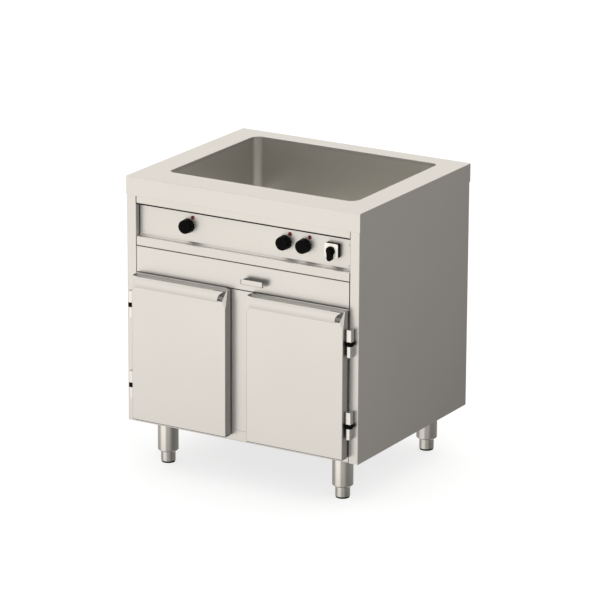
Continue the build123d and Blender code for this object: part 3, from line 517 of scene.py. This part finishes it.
def level_shade_strip(name, end, y, z, size):
    """Black strip from side to side that bulges downwards, standing for painted shade."""
    half, bulge = size
    bead(name, (-end, y, z), (end, y, z), (0, half, 0), (0, 0, -bulge))


def upright_seal(name, x, y, foot, top, size):
    """Strip from a foot to a top that bulges forwards."""
    half, bulge = size
    bead(name, (x, y, foot), (x, y, top), (half, 0, 0), (0, -bulge, 0))


def make_seals_and_shade_strips():
    """Black sealing strips in the seams at the control panel's ends, and black strips that stand for
    painted shade under the rail's edge above the recess and under the skirt.
    """
    skirt_low, skirt_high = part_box("worktop")
    # Painted shade: a black strip hanging under the rail's edge at the recess's top
    level_shade_strip("panel_top_shade_strip", PANEL_END, RAIL_FRONT + HANG_BACK, RECESS_TOP, HANGING_SHADE_STRIP)
    for side, sign in (("left", -1), ("right", 1)):
        upright_seal(side + "_panel_seal", sign * PANEL_END, PANEL_FRONT, LEDGE, RECESS_TOP, PANEL_SEAL)
        upright_seal(side + "_rail_seal", sign * SEAM_END, RAIL_FRONT, RAIL_FOOT, LEDGE, RAIL_SEAL)
    upright_seal("left_top_seal", -SEAM_END, RAIL_FRONT, RECESS_TOP, skirt_low[2], TOP_SEAL)
    # Painted shade: a thin black strip under the worktop's skirt
    level_shade_strip("skirt_shade_strip", skirt_high[0] - SKIRT_SHADE_STRIP_INSET, skirt_low[1] + SKIRT_SHADE_STRIP_BACK, skirt_low[2],
               SKIRT_SHADE_STRIP)


def make_cove():
    """Polished steel cove in the corner between the control panel and the ledge."""
    profile = ((COVE_REACH, COVE_SEAT), (COVE_FLANK, COVE_HOLLOW), (COVE_HOLLOW, COVE_FLANK),
               (COVE_SEAT, COVE_REACH), (COVE_SEAT, COVE_SEAT))
    outline = [(0, PANEL_FRONT - out, LEDGE + up) for out, up in profile]
    end = PANEL_END - COVE_INSET
    piece = prism("ledge_cove", outline, (-end, 0, 0), (end, 0, 0), "stainless")
    piece.data.materials[0] = brushed_steel("cove_steel", COVE_STEEL, "x", roughness=0.36)


def make_pull_web():
    """Thin web that closes the left end of the drawer's pull, with its top hollowed for a finger."""
    low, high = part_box("drawer_pull")
    front, back = low[1] + PULL_SHEET, high[1] - WEB_SEAT
    foot, top = low[2] + PULL_SHEET, high[2] - WEB_DROP
    outline = [(0, front, foot), (0, back, foot)]
    for i in range(WEB_STEPS + 1):
        share = i / WEB_STEPS
        outline.append((0, back + share * (front - back), top - WEB_HOLLOW * math.sin(math.pi * share)))
    prism("pull_web", outline, (low[0] + WEB_SEAT, 0, 0), (low[0] + PULL_SHEET, 0, 0), "stainless",
          "drawer")


def screw_heads(name, spots, axis, radius):
    """Low round screw heads with a hexagon socket, on the surface at each spot."""
    axis = Vector(axis)
    along = Vector((1, 0, 0))
    across = axis.cross(along)
    turns = [2 * math.pi * i / HEAD_SIDES for i in range(HEAD_SIDES)]
    flat = math.cos(math.pi / 6)
    hexagon = [SOCKET_SIZE * flat / math.cos(turn % (math.pi / 3) - math.pi / 6) for turn in turns]
    rings = [([share] * HEAD_SIDES, level) for share, level in HEAD_RINGS]
    rings += [(hexagon, 1.0), (hexagon, SOCKET_FLOOR)]
    points = []
    faces = []
    for spot in spots:
        start = len(points)
        for shares, level in rings:
            centre = Vector(spot) + axis * HEAD_HEIGHT * level
            for turn, share in zip(turns, shares):
                points.append(centre + radius * share * (math.cos(turn) * along + math.sin(turn) * across))
        for i in range(len(rings) - 1):
            faces += ring_faces(start + i * HEAD_SIDES, start + (i + 1) * HEAD_SIDES, HEAD_SIDES)
        for first in (start, start + (len(rings) - 1) * HEAD_SIDES):
            faces.append(tuple(range(first, first + HEAD_SIDES)))
    mesh_piece(name, points, faces, "hinge_steel")


def make_screws():
    """Screws at the control panel's ends and along both sides of the back panel."""
    reach = PANEL_END - PANEL_SCREW_INSET
    spots = [(x, PANEL_FRONT, LEDGE + lift) for x in (-reach, reach) for lift in PANEL_SCREW_LIFTS]
    screw_heads("panel_screws", spots, (0, -1, 0), PANEL_SCREW_RADIUS)
    low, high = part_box("back_panel")
    step = (high[2] - low[2] - 2 * BACK_SCREW_END) / (BACK_SCREW_COUNT - 1)
    rows = [low[2] + BACK_SCREW_END + i * step for i in range(BACK_SCREW_COUNT)]
    spots = [(x, high[1], z) for x in (low[0] + BACK_SCREW_INSET, high[0] - BACK_SCREW_INSET) for z in rows]
    screw_heads("back_screws", spots, (0, 1, 0), BACK_SCREW_RADIUS)


def make_world():
    """Studio that is bright above and in front to the left, grey elsewhere, and white to the camera."""
    world = bpy.data.worlds.new("studio")
    nodes = Nodes(world)
    tree = nodes.tree
    way = tree.nodes.new("ShaderNodeTexCoord").outputs["Generated"]
    level_way = nodes.vector("NORMALIZE", nodes.vector("MULTIPLY", way, (1, 1, 0)))
    key_way = (math.sin(KEY_AZIMUTH), -math.cos(KEY_AZIMUTH), 0)
    key_span = (math.cos(KEY_OUTER), math.cos(KEY_INNER))
    fill_span = (math.cos(FILL_OUTER), math.cos(FILL_INNER))
    nearness = nodes.measure("DOT_PRODUCT", level_way, key_way)
    side = nodes.measure("DOT_PRODUCT", level_way, (1, 0, 0))
    ahead = nodes.measure("DOT_PRODUCT", level_way, (0, -1, 0))
    fill = nodes.measure("DOT_PRODUCT", level_way, FILL_WAY)
    rise = nodes.measure("DOT_PRODUCT", way, (0, 0, 1))
    right = nodes.ramp(ahead, RIGHT_BACK_SPAN, RIGHT_BACK_LEVEL, RIGHT_LEVEL)
    right = nodes.ramp(ahead, RIGHT_FRONT_SPAN, right, RIGHT_FRONT_LEVEL)
    grey = nodes.ramp(side, SIDE_SPAN, LEFT_LEVEL, right)
    grey = nodes.ramp(fill, fill_span, grey, FILL_LEVEL)
    front = nodes.ramp(rise, UNDER_SPAN, UNDER_LEVEL, KEY_LEVEL)
    front = nodes.ramp(rise, NADIR_SPAN, NADIR_LEVEL, front)
    low = nodes.ramp(nearness, key_span, grey, front)
    high = nodes.ramp(ahead, AHEAD_SPAN, BEHIND_LEVEL, AHEAD_LEVEL)
    high = nodes.ramp(rise, CROWN_SPAN, high, CROWN_LEVEL)
    studio = tree.nodes["Background"]
    nodes.feed(studio.inputs["Color"], LIGHT_COLOUR)
    nodes.feed(studio.inputs["Strength"], nodes.ramp(rise, HORIZON_SPAN, low, high))
    backdrop = tree.nodes.new("ShaderNodeBackground")
    nodes.feed(backdrop.inputs["Color"], WHITE)
    choice = tree.nodes.new("ShaderNodeMixShader")
    nodes.feed(choice.inputs["Fac"], nodes.shown())
    nodes.feed(choice.inputs[1], studio.outputs["Background"])
    nodes.feed(choice.inputs[2], backdrop.outputs["Background"])
    nodes.feed(tree.nodes["World Output"].inputs["Surface"], choice.outputs["Shader"])
    bpy.context.scene.world = world


def floor_plane(name, material):
    """Wide level plane under the object."""
    mesh = bpy.data.meshes.new(name)
    mesh.from_pydata(FLOOR_CORNERS, [], [tuple(range(len(FLOOR_CORNERS)))])
    mesh.materials.append(material)
    floor = bpy.data.objects.new(name, mesh)
    bpy.context.scene.collection.objects.link(floor)
    return floor


def make_floor():
    """Pale floor, white to the camera where no shadow falls."""
    material = bpy.data.materials.new("floor")
    nodes = Nodes(material)
    surface = nodes.tree.nodes["Principled BSDF"].inputs
    nodes.feed(surface["Base Color"], FLOOR_COLOUR)
    nodes.feed(surface["Roughness"], FLOOR_ROUGHNESS)
    nodes.feed(surface["Emission Color"], WHITE)
    nodes.feed(surface["Emission Strength"], nodes.number("MULTIPLY", nodes.shown(), FLOOR_GLOW))
    floor_plane("floor", material).visible_glossy = False


def make_floor_shade():
    """Floor that only reflections see: dimmer close to the object and beside its back."""
    material = bpy.data.materials.new("floor_shade")
    nodes = Nodes(material)
    tree = nodes.tree
    place = tree.nodes.new("ShaderNodeTexCoord").outputs["Object"]
    spot = nodes.vector("ABSOLUTE", place)
    outside = nodes.vector("MAXIMUM", nodes.vector("SUBTRACT", spot, FOOTPRINT), (0, 0, 0))
    ahead = nodes.ramp(nodes.measure("LENGTH", outside), NEAR_SPAN, SHADE_NEAR, 1.0)
    aside = nodes.measure("DOT_PRODUCT", spot, ASIDE_WAY)
    beside = nodes.ramp(aside, ASIDE_SPAN, SHADE_SIDE, CLEAR_SIDE)
    depth = nodes.measure("DOT_PRODUCT", place, (0, 1, 0))
    clear = tree.nodes.new("ShaderNodeBsdfTransparent")
    nodes.feed(clear.inputs["Color"], nodes.ramp(depth, FRONT_SPAN, ahead, beside))
    nodes.feed(tree.nodes["Material Output"].inputs["Surface"], clear.outputs["BSDF"])
    floor = floor_plane("floor_shade", material)
    for ray in ("camera", "diffuse", "transmission", "volume_scatter", "shadow"):
        setattr(floor, "visible_" + ray, False)


def make_camera():
    """Long lens at the photograph's place, turned and rolled as it was."""
    sin, cos = math.sin, math.cos
    back = Vector((sin(CAMERA_AZIMUTH) * cos(CAMERA_ELEVATION),
                   -cos(CAMERA_AZIMUTH) * cos(CAMERA_ELEVATION), sin(CAMERA_ELEVATION)))
    right = Vector((cos(CAMERA_AZIMUTH), sin(CAMERA_AZIMUTH), 0))
    up = back.cross(right)
    rolled_right = cos(CAMERA_ROLL) * right + sin(CAMERA_ROLL) * up
    rolled_up = cos(CAMERA_ROLL) * up - sin(CAMERA_ROLL) * right
    turn = Matrix((rolled_right, rolled_up, back)).transposed().to_4x4()
    data = bpy.data.cameras.new("camera")
    data.sensor_width = SENSOR_MM
    data.lens = FOCAL_PIXELS / IMAGE_PIXELS * SENSOR_MM
    camera = bpy.data.objects.new("camera", data)
    camera.matrix_world = Matrix.Translation(CAMERA_PLACE) @ turn
    bpy.context.scene.collection.objects.link(camera)
    bpy.context.scene.camera = camera


bpy.context.scene.view_settings.view_transform = "Standard"
finishes = make_finishes()
dress_nodes()
make_seals_and_shade_strips()
make_cove()
make_pull_web()
make_screws()
make_world()
make_floor()
make_floor_shade()
make_camera()
